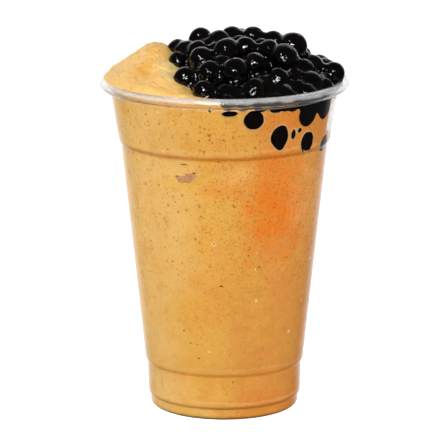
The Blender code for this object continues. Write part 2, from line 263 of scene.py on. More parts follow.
# Clear plastic, from face on to edge on
PLASTIC_IOR, FACING_BLEND = 1.38, 0.4
WALL_FACE, WALL_EDGE, WALL_FADE = (0.99, 0.99, 0.99, 1.0), (0.93, 0.915, 0.92, 1.0), (0.45, 0.95)
COLLAR_EDGE, COLLAR_FADE = (0.82, 0.80, 0.77, 1.0), (108 * MM, 114 * MM)
LIP_FACE, LIP_EDGE, LIP_FADE = (0.985, 0.975, 0.97, 1.0), (0.84, 0.79, 0.77, 1.0), (0.55, 1.0)
LIP_FROM, LIP_ROUGHNESS = (CUP_HEIGHT - 4.6 * MM, CUP_HEIGHT - 3.9 * MM), (0.08, 0.08, 0.08, 1.0)
HAZE, HAZE_FADE = (9 * MM,), (0.35, 0.75, 0.02, 0.07)
STREAKS, STREAKS_FADE = (7 * MM, 3.0, 0.6), (0.3, 0.7, -0.4 * MM, 0.4 * MM)
# The lip's top half clouded whiter: partly the rolled plastic's haze, partly a painted reflection of the
# bright light from above
MILKY_AND_REFLECTION_FADE = (CUP_HEIGHT - 2.3 * MM, CUP_HEIGHT - 1.1 * MM, 0.012, 0.20)
# The painted highlight line at the neck's corner
NECK_HIGHLIGHT_FADE = (0.1 * MM, 0.4 * MM, 0.14, 0.0)
RIPPLE, RIPPLE_DEPTH = (5 * MM, 1.0), 0.03 * MM

# Smoothie
# Pale on the left, deeper on the right: partly the drink's own tone, partly painted light from the left
TEA_LEFT, TEA_MIDDLE, TEA_RIGHT, TEA_TOP = "ECBE70", "E6AC4C", "E29748", "EFBF70"
LEFT_FADE, RIGHT_FADE, TOP_FADE = (-36 * MM, -4 * MM), (-4 * MM, 30 * MM), (121 * MM, 131 * MM)
WAVER, WAVER_FADE = (22 * MM, 3.0), (0.3, 0.7, -12 * MM, 12 * MM)
RAGGED, RAGGED_FADE, CLOUD_REACH = (6 * MM, 4.0, 0.6), (0.2, 0.75, -0.35, 0.35), 1.25
UNSTEADY, UNSTEADY_FADE, STEP_SHADE_CORE = (14 * MM, 3.0), (0.3, 0.7, -0.5 * MM, 0.5 * MM), 0.2 * MM
PITS, PITS_FADE, PITS_TONE = (5 * MM, 4.0, 0.62), (0.30, 0.52, 0.30, 0.0), "D08A32"
CALM_FADE, LOW_FADE = (123 * MM, 130 * MM, 1.0, 0.35), (30 * MM, 75 * MM, 0.4, 1.0)
FROTH, FROTH_FADE, FROTH_TONE = (1.6 * MM, 3.0, 0.6, (7.0, 2.0, 4.0)), (0.56, 0.72, 0.0, 0.14), "FAD898"
COARSE_FADE = (-24 * MM, 4 * MM, 0.38, 0.72)
GRAIN, GRAIN_FADE, GRAIN_TONE = (0.8 * MM, 2.0, 0.6, (3.0, 1.0, 2.0)), (0.28, 0.46, 1.0, 0.0), "B4600C"
DOT_SPACING, DOT_SIZE_FADE, DOT_FADE, DOT_TONE = 1.7 * MM, (0.25, 1.0, 0.0, 0.36), (-0.03, 0.06), "B05C04"
THICK, THICK_FADE = (16 * MM, 2.0, 0.5, (1.0, 5.0, 3.0)), (0.36, 0.60, 0.15, 0.65)
TEA_ROUGHNESS_FADE, TEA_SPECULAR = (0.0, 0.3, 0.45, 0.6), 0.3
TEA_GLOW, TEA_GLOW_REACH, TEA_GLOW_SCALE = 0.35, (1.0, 0.55, 0.25), 4.0 * MM
TEA_SKIN, TEA_SKIN_DEPTH, TEA_SKIN_STRENGTH = (0.9 * MM, 3.0, 0.6), 0.15 * MM, 0.6

# Tapioca in the heap and sunk in the drink
TAPIOCA_DARK, TAPIOCA_WARM, TAPIOCA_IOR = "030202", "080403", 1.46
TAPIOCA_PATCH, TAPIOCA_PATCH_FADE = (6 * MM, 2.0), (0.4, 0.7)
WET, WET_FADE = (2.5 * MM,), (0.3, 0.7, 0.03, 0.08)
SYRUP_WAVE, SYRUP_WAVE_DEPTH, SYRUP_WAVE_STRENGTH = (2.0 * MM, 2.0, 0.5), 0.3 * MM, 0.45
SUNKEN_DARK, SUNKEN_WARM = "060404", "0F0807"
SUNKEN_PATCH, SUNKEN_PATCH_FADE = (3 * MM,), (0.35, 0.7)
SUNKEN_WET, SUNKEN_WET_FADE = (2 * MM,), (0.3, 0.7, 0.15, 0.3)

# Damp marks: two tones and the size of their patches
HALO_LOOK, LEAF_LOOK = ("CA9454", "DAA664", 2 * MM), ("7A3A00", "965000", 1 * MM)
DUST_LOOK, BUBBLE_LOOK = ("A85E0C", "D48A22", 1 * MM), ("EDBE78", "F5D298", 1 * MM)
VOID_LOOK = ("B97A50", "CC946A", 1.5 * MM)
STAIN_FADE, STAIN_ROUGHNESS_FADE, STAIN_SPECULAR = (0.35, 0.65), (0.3, 0.7, 0.45, 0.65), 0.25

# Stage, world and lamps
WHITE = (1.0, 1.0, 1.0, 1.0)
STAGE_RADIUS, STAGE_STEPS, STAGE_Z = 3.0, 96, -0.02 * MM
STAGE_TONES, STAGE_PATCH = ((0.86, 0.86, 0.86, 1.0), (0.9, 0.9, 0.9, 1.0)), 0.4
STAGE_ROUGHNESS, STAGE_GLOW = 0.9, 0.8
WORLD_SEEN = 1.05
# The even light by direction: axis, and a fade along it
WORLD_FADES = (
    ("Y", (0.56, 1.0, 0.06, 1.25)),
    ("Z", (-0.6, -0.1, 0.75, 1.0)),
)
LAMP_AIM = Vector((0.0, 0.0, 90 * MM))
# A lamp's name, place and width in metres, watts, whether gloss mirrors it, and whether it lights
LAMPS = (
    ("key", (-0.48, -1.31, 0.68), 0.32, 4.5, True, True),
    ("window", (-0.20, -1.36, 0.86), 0.46, 11.0, True, False),
    ("key_low", (-0.34, -1.42, 0.52), 0.20, 2.6, True, True),
    ("front", (-0.16, -1.44, 0.78), 0.15, 2.0, True, True),
    ("spark", (0.34, -1.42, 0.74), 0.15, 1.7, True, True),
    ("spark_high", (-0.50, -0.90, 1.20), 0.16, 2.0, True, True),
    ("glint_left", (-0.36, -1.22, 0.98), 0.11, 1.3, True, False),
    ("glint_right", (0.10, -1.36, 0.93), 0.11, 1.3, True, False),
    ("fill", (1.05, -0.98, 0.46), 0.60, 10.0, False, True),
    ("side", (-1.30, -0.36, 0.33), 0.60, 12.5, False, True),
    ("right", (1.32, -0.30, 0.30), 0.60, 4.0, False, True),
    ("high", (0.55, -1.05, 1.05), 0.50, 3.0, False, True),
    ("top", (-0.02, -0.30, 1.4), 0.9, 2.4, False, True),
)
BOUNCES = 16

# Camera
CAMERA_DISTANCE, CAMERA_ELEVATION = 1.35, math.radians(13.0)
CAMERA_AIM = Vector((-0.3 * MM, 0.0, 70.6 * MM))
CAMERA_LENS, SENSOR = 283.1, 36.0


def metres(lengths):
    """Lengths in millimetres, in metres."""
    return [length * MM for length in lengths]


def smoothstep(low, high, value):
    """The value's place between low and high, from 0 to 1 with soft ends."""
    t = min(max((value - low) / (high - low), 0.0), 1.0)
    return t * t * (3 - 2 * t)


# ---------------------------------------------------------------- profiles

def wall_profile():
    """Radius and height of the cup's inner surface, from the floor's centre to the neck."""
    points = [(0.0, FLOOR), (FLOOR_EDGE, FLOOR), DIP, (RING_INNER, WALL)]
    corner = FOOT[0] - RING_OUTER
    for degrees in FOOT_TURNS:
        a = math.radians(degrees)
        points.append((RING_OUTER + corner * math.sin(a), WALL + corner * (1.0 - math.cos(a))))
    points += [FOOT, BAND_LOW, BAND_HIGH, BODY_LOW, BODY_HIGH]
    points += [SHOULDER, COLLAR_MIDDLE, COLLAR, NECK]
    return points


def lip_profile(last=LIP_END, step=LIP_STEP):
    """Radius and height along the lip, which curls inwards under itself."""
    points = []
    angle = LIP_START
    while angle > last - step / 2:
        a = math.radians(angle)
        curl = 1.0 - LIP_CURL_SHRINK * smoothstep(LIP_CURL_START, LIP_END, angle)
        r = LIP_CENTRE_R + LIP_WIDTH * curl * math.cos(a)
        points.append((r, LIP_CENTRE_Z + LIP_RISE * curl * math.sin(a)))
        angle -= step
    return points


def inset(points, distance):
    """The profile moved by `distance` to its inner side, the side towards the drink."""
    moved = []
    for i, (r, z) in enumerate(points):
        before, after = points[max(i - 1, 0)], points[min(i + 1, len(points) - 1)]
        dr, dz = after[0] - before[0], after[1] - before[1]
        length = math.hypot(dr, dz)
        moved.append((max(r - distance * dz / length, 0.0), z + distance * dr / length))
    return moved


def rounded(points):
    """The profile with each corner turned into a short curve."""
    out = [points[0]]
    for before, here, after in zip(points, points[1:], points[2:]):
        ends = []
        for other in (before, after):
            length = math.dist(here, other)
            share = min(CORNER_ROUND / length, CORNER_MOST)
            ends.append((here[0] + (other[0] - here[0]) * share, here[1] + (other[1] - here[1]) * share))
        for k in range(CORNER_STEPS + 1):
            t = k / CORNER_STEPS
            a, b, c = (1 - t) ** 2, 2 * t * (1 - t), t * t
            out.append(tuple(a * ends[0][i] + b * here[i] + c * ends[1][i] for i in (0, 1)))
    out.append(points[-1])
    return out


def divided(points, longest):
    """The profile with long stretches cut into steps no longer than `longest`."""
    out = [points[0]]
    for a, b in zip(points, points[1:]):
        count = max(1, math.ceil(math.dist(a, b) / longest))
        for k in range(1, count + 1):
            out.append(tuple(a[i] + (b[i] - a[i]) * k / count for i in (0, 1)))
    return out


def wall_radius(z):
    """Radius of the cup's inner surface at a height on its side."""
    side = [FOOT, BAND_LOW, BAND_HIGH, BODY_LOW, BODY_HIGH, SHOULDER, COLLAR_MIDDLE, COLLAR, NECK]
    for (r0, z0), (r1, z1) in zip(side, side[1:]):
        if z <= z1:
            return r0 + (r1 - r0) * (z - z0) / (z1 - z0)
    return NECK[0]


# ---------------------------------------------------------------- objects and materials

def new_object(name, bm, smooth=True):
    """A new object in the scene from a bmesh, which is used up."""
    mesh = bpy.data.meshes.new(name)
    bm.to_mesh(mesh)
    bm.free()
    obj = bpy.data.objects.new(name, mesh)
    bpy.context.scene.collection.objects.link(obj)
    if smooth:
        mesh.shade_smooth()
    return obj


def apply_modifiers(obj):
    """Replaces the object's mesh by its evaluated one."""
    bpy.context.view_layer.update()
    graph = bpy.context.evaluated_depsgraph_get()
    mesh = bpy.data.meshes.new_from_object(obj.evaluated_get(graph))
    obj.modifiers.clear()
    obj.data = mesh


def loft(name, bottom, rings, top):
    """A closed skin over rings of equal point count, with a point at each end."""
    bm = bmesh.new()
    low = bm.verts.new(bottom)
    loops = [[bm.verts.new(p) for p in ring] for ring in rings]
    high = bm.verts.new(top)
    count = len(loops[0])
    for k in range(count):
        n = (k + 1) % count
        bm.faces.new((low, loops[0][n], loops[0][k]))
        for a, b in zip(loops, loops[1:]):
            bm.faces.new((a[k], a[n], b[n], b[k]))
        bm.faces.new((loops[-1][k], loops[-1][n], high))
    return new_object(name, bm)


def set_fade(node, low, high, to_low=0.0, to_high=1.0):
    """Sets a Map Range node to stretch low to high to the other two, with soft ends."""
    node.interpolation_type = "SMOOTHSTEP"
    for key, number in (("From Min", low), ("From Max", high), ("To Min", to_low), ("To Max", to_high)):
        node.inputs[key].default_value = number


class Nodes:
    """A short way to build a material's node tree round one Principled shader."""

    def __init__(self, name):
        self.material = bpy.data.materials.new(name)
        self.material.use_nodes = True
        self.tree = self.material.node_tree
        self.shader = self.tree.nodes["Principled BSDF"]
        self.place = self.add("ShaderNodeTexCoord").outputs["Object"]

    def add(self, kind, **inputs):
        node = self.tree.nodes.new(kind)
        for key, value in inputs.items():
            self.feed(node.inputs[key.replace("_", " ")], value)
        return node

    def feed(self, socket, value):
        if isinstance(value, bpy.types.NodeSocket):
            self.tree.links.new(value, socket)
        else:
            socket.default_value = value

    def set(self, **values):
        for key, value in values.items():
            self.feed(self.shader.inputs[key.replace("_", " ")], value)

    def noise(self, size, detail=3.0, roughness=0.5, offset=(0.0, 0.0, 0.0)):
        """Noise with features of about `size` metres, from 0 to 1."""
        moved = self.add("ShaderNodeMapping", Vector=self.place, Location=offset)
        node = self.add("ShaderNodeTexNoise", Scale=1.0 / size, Detail=detail, Roughness=roughness)
        self.feed(node.inputs["Vector"], moved.outputs["Vector"])
        return node.outputs["Fac"]

    def math(self, operation, a, b):
        node = self.add("ShaderNodeMath")
        node.operation = operation
        self.feed(node.inputs[0], a)
        self.feed(node.inputs[1], b)
        return node.outputs[0]

    def gap(self, a, b):
        """How far two values lie apart."""
        return self.math("ABSOLUTE", self.math("SUBTRACT", a, b), 0.0)

    def spread(self, value, *fade):
        """The value faded from one range to another, as set_fade says."""
        node = self.add("ShaderNodeMapRange", Value=value)
        set_fade(node, *fade)
        return node.outputs["Result"]

    def mix(self, factor, a, b):
        """A colour between a and b."""
        node = self.add("ShaderNodeMix")
        node.data_type = "RGBA"
        for socket, value in ((node.inputs[0], factor), (node.inputs[6], a), (node.inputs[7], b)):
            self.feed(socket, value)
        return node.outputs[2]

    def distance(self, centre, scale):
        """Distance from a point, with each axis measured in units of its own."""
        moved = self.add("ShaderNodeMapping", Vector=self.place)
        moved.vector_type = "TEXTURE"
        moved.inputs["Location"].default_value = centre
        moved.inputs["Scale"].default_value = scale
        node = self.add("ShaderNodeVectorMath")
        node.operation = "LENGTH"
        self.feed(node.inputs[0], moved.outputs["Vector"])
        return node.outputs["Value"]

    def bump(self, height, depth, strength=1.0):
        return self.add("ShaderNodeBump", Height=height, Distance=depth, Strength=strength).outputs["Normal"]


def colour(code):
    """Linear colour of an sRGB code such as "E5A84D", by the standard's own curve."""
    values = [int(code[i:i + 2], 16) / 255 for i in (0, 2, 4)]
    return (*[v / 12.92 if v < 0.04045 else ((v + 0.055) / 1.055) ** 2.4 for v in values], 1.0)


def clear_plastic():
    """Clear thin plastic, greyer at its edges and clouded where the lip is rolled; the lip's top half is
    whiter, partly haze and partly a painted reflection, and a thin whiter line at the neck's corner is a
    painted highlight.
    """
    n = Nodes("clear_plastic")
    height = n.add("ShaderNodeSeparateXYZ", Vector=n.place).outputs["Z"]
    facing = n.add("ShaderNodeLayerWeight", Blend=FACING_BLEND).outputs["Facing"]
    lip = n.spread(height, *LIP_FROM)
    edge = n.mix(n.spread(height, *COLLAR_FADE), WALL_EDGE, COLLAR_EDGE)
    wall = n.mix(n.spread(facing, *WALL_FADE), WALL_FACE, edge)
    rolled = n.mix(n.spread(facing, *LIP_FADE), LIP_FACE, LIP_EDGE)
    n.set(Base_Color=n.mix(lip, wall, rolled))
    haze = n.spread(n.noise(*HAZE), *HAZE_FADE)
    n.set(Roughness=n.mix(lip, haze, LIP_ROUGHNESS), IOR=PLASTIC_IOR)
    # Whiter top half of the lip: partly haze, partly a painted reflection
    streaked = n.math("ADD", height, n.spread(n.noise(*STREAKS), *STREAKS_FADE))
    milky_and_reflection = n.math("MULTIPLY", n.spread(streaked, *MILKY_AND_REFLECTION_FADE), lip)
    # A thin whiter line at the neck's corner: a painted highlight
    neck_highlight = n.spread(n.gap(height, NECK_HIGHLIGHT_Z), *NECK_HIGHLIGHT_FADE)
    n.set(Transmission_Weight=n.math("SUBTRACT", 1.0, n.math("ADD", milky_and_reflection, neck_highlight)))
    n.set(Normal=n.bump(n.noise(*RIPPLE), RIPPLE_DEPTH))
    return n.material


def tea_tones(n, side, height):
    """Pale on the left and deeper on the right, partly the drink's own tone and partly painted light from
    the left; lighter on top; with clouds of tone, painted light and painted shade, and painted shade and
    highlight lines at the steps.
    """
    left = n.mix(n.spread(side, *LEFT_FADE), colour(TEA_LEFT), colour(TEA_MIDDLE))
    base = n.mix(n.spread(side, *RIGHT_FADE), left, colour(TEA_RIGHT))
    base = n.mix(n.spread(height, *TOP_FADE), base, colour(TEA_TOP))
    # Clouds of the drink's own tone, and some of painted light and painted shade
    for centre, reach, tone, strength in CLOUDS_AND_PAINTED_SHADING:
        centre, reach = metres(centre), metres(reach)
        away = n.math("ADD", n.distance(centre, reach), n.spread(n.noise(*RAGGED, centre), *RAGGED_FADE))
        base = n.mix(n.spread(away, 0.0, CLOUD_REACH, strength, 0.0), base, colour(tone))
    level = n.math("ADD", height, n.spread(n.noise(*UNSTEADY), *UNSTEADY_FADE))
    # Painted shade and painted highlight lines along the cup's steps
    for z, reach, tone, strength in STEP_SHADE_LINES:
        share = n.spread(n.gap(level, z * MM), STEP_SHADE_CORE, reach * MM, strength, 0.0)
        base = n.mix(share, base, colour(tone))
    return base


def thai_tea():
    """Blended milk tea: broad tones under pits, froth, grain and dots."""
    n = Nodes("thai_tea")
    across = n.add("ShaderNodeSeparateXYZ", Vector=n.place)
    height = across.outputs["Z"]
    side = n.math("ADD", across.outputs["X"], n.spread(n.noise(*WAVER), *WAVER_FADE))
    base = tea_tones(n, side, height)
    pits = n.spread(n.noise(*PITS), *PITS_FADE)
    calm = n.spread(height, *CALM_FADE)
    base = n.mix(n.math("MULTIPLY", pits, calm), base, colour(PITS_TONE))
    base = n.mix(n.spread(n.noise(*FROTH), *FROTH_FADE), base, colour(FROTH_TONE))
    low = n.spread(height, *LOW_FADE)
    coarse = n.math("MULTIPLY", n.spread(side, *COARSE_FADE), n.math("MULTIPLY", calm, low))
    grain = n.spread(n.noise(*GRAIN), *GRAIN_FADE)
    base = n.mix(n.math("MULTIPLY", grain, coarse), base, colour(GRAIN_TONE))
    dots = n.add("ShaderNodeTexVoronoi", Vector=n.place, Scale=1.0 / DOT_SPACING)
    size = n.spread(dots.outputs["Color"], *DOT_SIZE_FADE)
    dot = n.spread(n.math("SUBTRACT", size, dots.outputs["Distance"]), *DOT_FADE)
    thick = n.spread(n.noise(*THICK), *THICK_FADE)
    base = n.mix(n.math("MULTIPLY", dot, n.math("MULTIPLY", thick, low)), base, colour(DOT_TONE))
    n.set(Base_Color=base, Roughness=n.spread(pits, *TEA_ROUGHNESS_FADE), Specular_IOR_Level=TEA_SPECULAR)
    n.set(Subsurface_Weight=TEA_GLOW, Subsurface_Radius=TEA_GLOW_REACH, Subsurface_Scale=TEA_GLOW_SCALE)
    n.set(Normal=n.bump(n.noise(*TEA_SKIN), TEA_SKIN_DEPTH, TEA_SKIN_STRENGTH))
    return n.material


def tapioca():
    """Near black with a faint red-brown, wet with syrup, so its highlights waver."""
    n = Nodes("tapioca")
    patches = n.spread(n.noise(*TAPIOCA_PATCH), *TAPIOCA_PATCH_FADE)
    n.set(Base_Color=n.mix(patches, colour(TAPIOCA_DARK), colour(TAPIOCA_WARM)))
    n.set(Roughness=n.spread(n.noise(*WET), *WET_FADE), IOR=TAPIOCA_IOR)
    n.set(Normal=n.bump(n.noise(*SYRUP_WAVE), SYRUP_WAVE_DEPTH, SYRUP_WAVE_STRENGTH))
    return n.material


def sunken_tapioca():
    """Near black without a shine of its own, as the drink wets it right up to the wall."""
    n = Nodes("sunken_tapioca")
    patches = n.spread(n.noise(*SUNKEN_PATCH), *SUNKEN_PATCH_FADE)
    n.set(Base_Color=n.mix(patches, colour(SUNKEN_DARK), colour(SUNKEN_WARM)))
    n.set(Roughness=n.spread(n.noise(*SUNKEN_WET), *SUNKEN_WET_FADE), Specular_IOR_Level=0.0)
    return n.material


def stained(name, first, second, size):
    """A damp, matt material that varies between two colours."""
    n = Nodes(name)
    n.set(Base_Color=n.mix(n.spread(n.noise(size), *STAIN_FADE), colour(first), colour(second)))
    n.set(Roughness=n.spread(n.noise(size * 2), *STAIN_ROUGHNESS_FADE), Specular_IOR_Level=STAIN_SPECULAR)
    return n.material


# ---------------------------------------------------------------- cup

def make_cup():
    """One sheet from the floor's centre up to the rolled lip, turned round and given its thickness."""
    profile = rounded(wall_profile()) + lip_profile()
    bm = bmesh.new()
    verts = [bm.verts.new((r, 0.0, z)) for r, z in profile]
    for a, b in zip(verts, verts[1:]):
        bm.edges.new((a, b))
    cup = new_object("clear_cup", bm)
    screw = cup.modifiers.new("turn", "SCREW")
    screw.axis = "Z"
    screw.angle = 2 * math.pi
    screw.steps = screw.render_steps = CUP_STEPS
    screw.use_merge_vertices = True
    screw.merge_threshold = MERGE
    screw.use_normal_calculate = True
    shell = cup.modifiers.new("wall", "SOLIDIFY")
    shell.thickness = WALL
    shell.offset = -1.0
    shell.use_even_offset = True
    apply_modifiers(cup)
    cup.data.shade_smooth()
    cup.data.materials.append(clear_plastic())
    cup.visible_shadow = False
    cup.visible_diffuse = False
    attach(cup, "root")
    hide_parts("cup")


# ---------------------------------------------------------------- smoothie

def edge_share(angle):
    """How far the smoothie reaches from the collar to the lip's top at an angle about Z."""
    return EDGE_LOWEST + (1.0 - EDGE_LOWEST) * smoothstep(*EDGE_FADE, -math.cos(angle))


def along(points, share):
    """The point at a share of the way along a profile, by its point numbers."""
    place = share * (len(points) - 1)
    i = min(int(place), len(points) - 2)
    t = place - i
    (r0, z0), (r1, z1) = points[i], points[i + 1]
    return r0 + t * (r1 - r0), z0 + t * (z1 - z0)


def mound_height(x, y, edge_z, inward):
    """Height of the smoothie's top, `inward` from its edge at the height `edge_z`."""
    width = PEAK_LEFT if x < PEAK_X else PEAK_RIGHT
    depth = PEAK_FRONT if y < PEAK_Y else PEAK_BACK
    peak = PEAK * math.exp(-(((x - PEAK_X) / width) ** 2) - ((y - PEAK_Y) / depth) ** 2)
    free = CUP_HEIGHT + peak - RIGHT_DROP * smoothstep(DROP_FROM, DROP_TO, x)
    rounded_edge = 1.0 - math.exp(-inward / EDGE_ROUND)
    return edge_z + (free - edge_z) * rounded_edge


def slush(x, y, z):
    """Small unevenness of the blended ice, with one shallow dent and a fold beside it."""
    place = Vector((x, y, z))
    height = sum(rise * noise.noise(place / size + Vector(offset)) for size, offset, rise in SLUSH) * MM
    height -= DENT_DEPTH * math.exp(-(((x - DENT_X) / DENT_WIDE) ** 2) - ((y - DENT_Y) / DENT_LONG) ** 2)
    start, end, here = Vector(FOLD_START), Vector(FOLD_END), Vector((x, y))
    share = min(max((here - start).dot(end - start) / (end - start).length_squared, 0.0), 1.0)
    off = (here - start.lerp(end, share)).length
    return height - FOLD_DEPTH * math.exp(-((off / FOLD_WIDTH) ** 2))


def wall_point(r, z, angle):
    """The point at an angle about Z where the smoothie meets the wall, set in at the hollow."""
    across = max(1.0 - (math.remainder(angle, 2 * math.pi) / HOLLOW_ANGLE) ** 2, 0.0)
    upright = max(1.0 - ((z - HOLLOW_Z) / HOLLOW_HALF) ** 2, 0.0)
    r -= HOLLOW_DEPTH * across * upright
    return r * math.cos(angle), r * math.sin(angle), z


def smoothie_rings():
    """Rings of points from the floor up the wall, up to the edge and in across the mound."""
    angles = [2 * math.pi * k / TEA_STEPS for k in range(TEA_STEPS)]
    low_side = wall_profile()[:-1]
    side = divided(inset(rounded(low_side), -INTO_WALL), TEA_RING_HEIGHT)
    rim = inset([COLLAR, NECK, *lip_profile(LIP_TOP, EDGE_STEP)], -INTO_WALL)
    rings = [[wall_point(r, z, a) for a in angles] for r, z in side[1:]]
    for step in range(1, TEA_RIM_RINGS + 1):
        share = step / TEA_RIM_RINGS
        rings.append([wall_point(*along(rim, edge_share(a) * share), a) for a in angles])
    edge = rings[-1]
    for step in range(1, TEA_TOP_RINGS):
        inner = 1.0 - (step / TEA_TOP_RINGS) ** TEA_RING_CROWD
        ring = []
        for x0, y0, z0 in edge:
            x, y = x0 * inner, y0 * inner
            inward = math.hypot(x0, y0) * (1.0 - inner)
            z = mound_height(x, y, z0, inward)
            ring.append((x, y, z + slush(x, y, z) * min(inward / EDGE_ROUND, 1.0)))
        rings.append(ring)
    centre_z = mound_height(0.0, 0.0, CUP_HEIGHT, LIP_RADIUS)
    return (0.0, 0.0, side[0][1]), rings, (0.0, 0.0, centre_z)


def make_smoothie():
    """The smoothie as one closed skin."""
    tea = loft("thai_tea", *smoothie_rings())
    tea.data.materials.append(thai_tea())
    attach(tea, "root")
    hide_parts("smoothie")


# ---------------------------------------------------------------- pearls

def heap_height(x, y):
    """Height of the centres of the heap's outer pearls."""
    width = HEAP_LEFT if x < HEAP_X else HEAP_RIGHT
    q = ((x - HEAP_X) / width) ** 2 + ((y - HEAP_Y) / HEAP_DEPTH) ** 2
    return CUP_HEIGHT + HEAP_HEIGHT * max(1.0 - q, 0.0) ** HEAP_POWER


def keep_in_heap(x, y, margin):
    """The place, moved back where it lies off the part of the mouth that the pearls cover."""
    x = max(x, HEAP_EDGE_X + HEAP_EDGE_CURVE * (y - PEAK_Y) ** 2)
    outside = max(math.hypot(x, y) / (HEAP_REACH - margin), 1.0)
    return x / outside, y / outside


def edge_ball(degrees, z, diameter, inside):
    """Centre and radius of a pearl that the wall cuts flat."""
    turn = math.radians(degrees) - math.pi / 2
    out = wall_radius(z * MM) - inside * MM
    return (out * math.cos(turn), out * math.sin(turn), z * MM), diameter / 2 * MM


class Pearl:
    """A pearl whose centre lies on the heap's dome, or `lift` above it."""

    def __init__(self, x, y, lift, diameter):
        self.x, self.y, self.lift, self.radius = x, y, lift, diameter / 2

    @property
    def centre(self):
        return self.x, self.y, heap_height(self.x, self.y) + self.lift

    def push_from(self, other):
        """Moves off another pearl in plan where they press into each other more than they may."""
        reach = (self.radius + other.radius) * (1.0 - PEARL_OVERLAP)
        apart = math.dist(self.centre, other.centre)
        if apart < reach:
            dx, dy = self.x - other.x, self.y - other.y
            push = PUSH_SHARE * (reach - apart) / max(math.hypot(dx, dy), PUSH_NEAREST)
            self.x += dx * push
            self.y += dy * push


def settle(fixed, loose):
    """Lets the loose pearls push apart, and off the fixed ones, inside the heap."""
    for _ in range(SETTLE_ROUNDS):
        for pearl in loose:
            for other in fixed + loose:
                if other is not pearl:
                    pearl.push_from(other)
            pearl.x, pearl.y = keep_in_heap(pearl.x, pearl.y, pearl.radius)


def outer_pearls():
    """The pearls that show: the placed ones, and loose ones settled round them."""
    draw = random.Random(PEARL_SEED)
    leads = [Pearl(x * MM, y * MM, lift * MM, size * MM) for x, y, lift, size in LEAD_PEARLS]
    loose = []
    for _ in range(LOOSE_PEARLS):
        x, y = draw.uniform(HEAP_EDGE_X, HEAP_REACH), draw.uniform(*LOOSE_Y) * HEAP_REACH
        loose.append(Pearl(x, y, draw.uniform(*LOOSE_LIFT) * MM, draw.uniform(PEARL_MIN, PEARL_MAX)))
    settle(leads, loose)
    return leads + loose


def under_pearls():
    """The layer that shows in the gaps of the outer one."""
    draw = random.Random(UNDER_SEED)
    loose = []
    for _ in range(UNDER_PEARLS):
        x, y = draw.uniform(HEAP_EDGE_X, HEAP_REACH), draw.uniform(*UNDER_Y) * HEAP_REACH
        lift = UNDER_LIFT + draw.uniform(*UNDER_VARIES) * MM
        loose.append(Pearl(x, y, lift, draw.uniform(PEARL_MIN, PEARL_MAX)))
    settle([], loose)
    return loose + [Pearl(x * MM, y * MM, lift * MM, size * MM) for x, y, lift, size in FRONT_PEARLS]


def add_ball(bm, centre, radius, draw):
    """A ball, not quite round, as soft cooked tapioca is."""
    made = bmesh.ops.create_icosphere(bm, subdivisions=BALL_CUTS, radius=1.0)["verts"]
    shape = Vector([draw.uniform(*BALL_STRETCH) for _ in range(3)])
    seed = Vector([draw.uniform(0.0, BALL_NOISE_REACH) for _ in range(3)])
    for v in made:
        swell = 1.0 + BALL_SWELL * noise.noise(v.co * BALL_SWELL_SCALE + seed)
        v.co = Vector(centre) + v.co * shape * swell * radius


def core_rings():
    """The heap's hidden core: a dome over a flat base."""
    rings = []
    for step in range(CORE_RINGS):
        inner = 1.0 - step / CORE_RINGS
        ring = []
        for k in range(CORE_STEPS):
            a = 2 * math.pi * k / CORE_STEPS
            x, y = keep_in_heap(CORE_X + HEAP_REACH * math.cos(a), HEAP_REACH * math.sin(a), CORE_INSET)
            x, y = CORE_X + (x - CORE_X) * inner, y * inner
            ring.append((x, y, heap_height(x, y) - CORE_SINK))
        rings.append(ring)
    skirt = [(x, y, CORE_BASE) for x, y, _ in rings[0]]
    top = (CORE_X, 0.0, heap_height(CORE_X, 0.0) - CORE_SINK)
    return (CORE_X, 0.0, CORE_BASE), [skirt, *rings], top


def make_pearls():
    """Pearls and core as one skin; swelling it and shrinking it back leaves syrup in the creases."""
    heap = loft("tapioca_pearls", *core_rings())
    bm = bmesh.new()
    bm.from_mesh(heap.data)
    draw = random.Random(PEARL_SEED)
    for pearl in outer_pearls() + under_pearls():
        add_ball(bm, pearl.centre, pearl.radius + SYRUP, draw)
    for row in EDGE_PEARLS:
        centre, radius = edge_ball(*row)
        add_ball(bm, centre, radius + SYRUP, draw)
    bm.to_mesh(heap.data)
    bm.free()
    skin = heap.modifiers.new("skin", "REMESH")
    skin.mode = "VOXEL"
    skin.voxel_size = PEARL_VOXEL
    shrink = heap.modifiers.new("shrink", "DISPLACE")
    shrink.strength = -SYRUP_TIGHT
    shrink.mid_level = 0.0
    soften = heap.modifiers.new("soften", "SMOOTH")
    soften.factor = SOFTEN
    soften.iterations = SOFTEN_ROUNDS
    apply_modifiers(heap)
    normals = [v.normal.copy() for v in heap.data.vertices]
    for v, normal in zip(heap.data.vertices, normals):
        fine = noise.noise(v.co / (FINE_DIMPLE * DIMPLE_SIZE) + FINE_OFFSET)
        v.co += normal * DIMPLE * (noise.noise(v.co / DIMPLE_SIZE) + FINE_DIMPLE * fine)
        limit = wall_radius(v.co.z) + INTO_WALL + PRESSED
        out = math.hypot(v.co.x, v.co.y)
        if out > limit and v.co.z < LIP_CENTRE_Z:
            v.co.x, v.co.y = v.co.x * limit / out, v.co.y * limit / out
    heap.data.shade_smooth()
    heap.data.materials.append(tapioca())
    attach(heap, "root")
    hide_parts("boba_heap")


# ---------------------------------------------------------------- marks against the wall

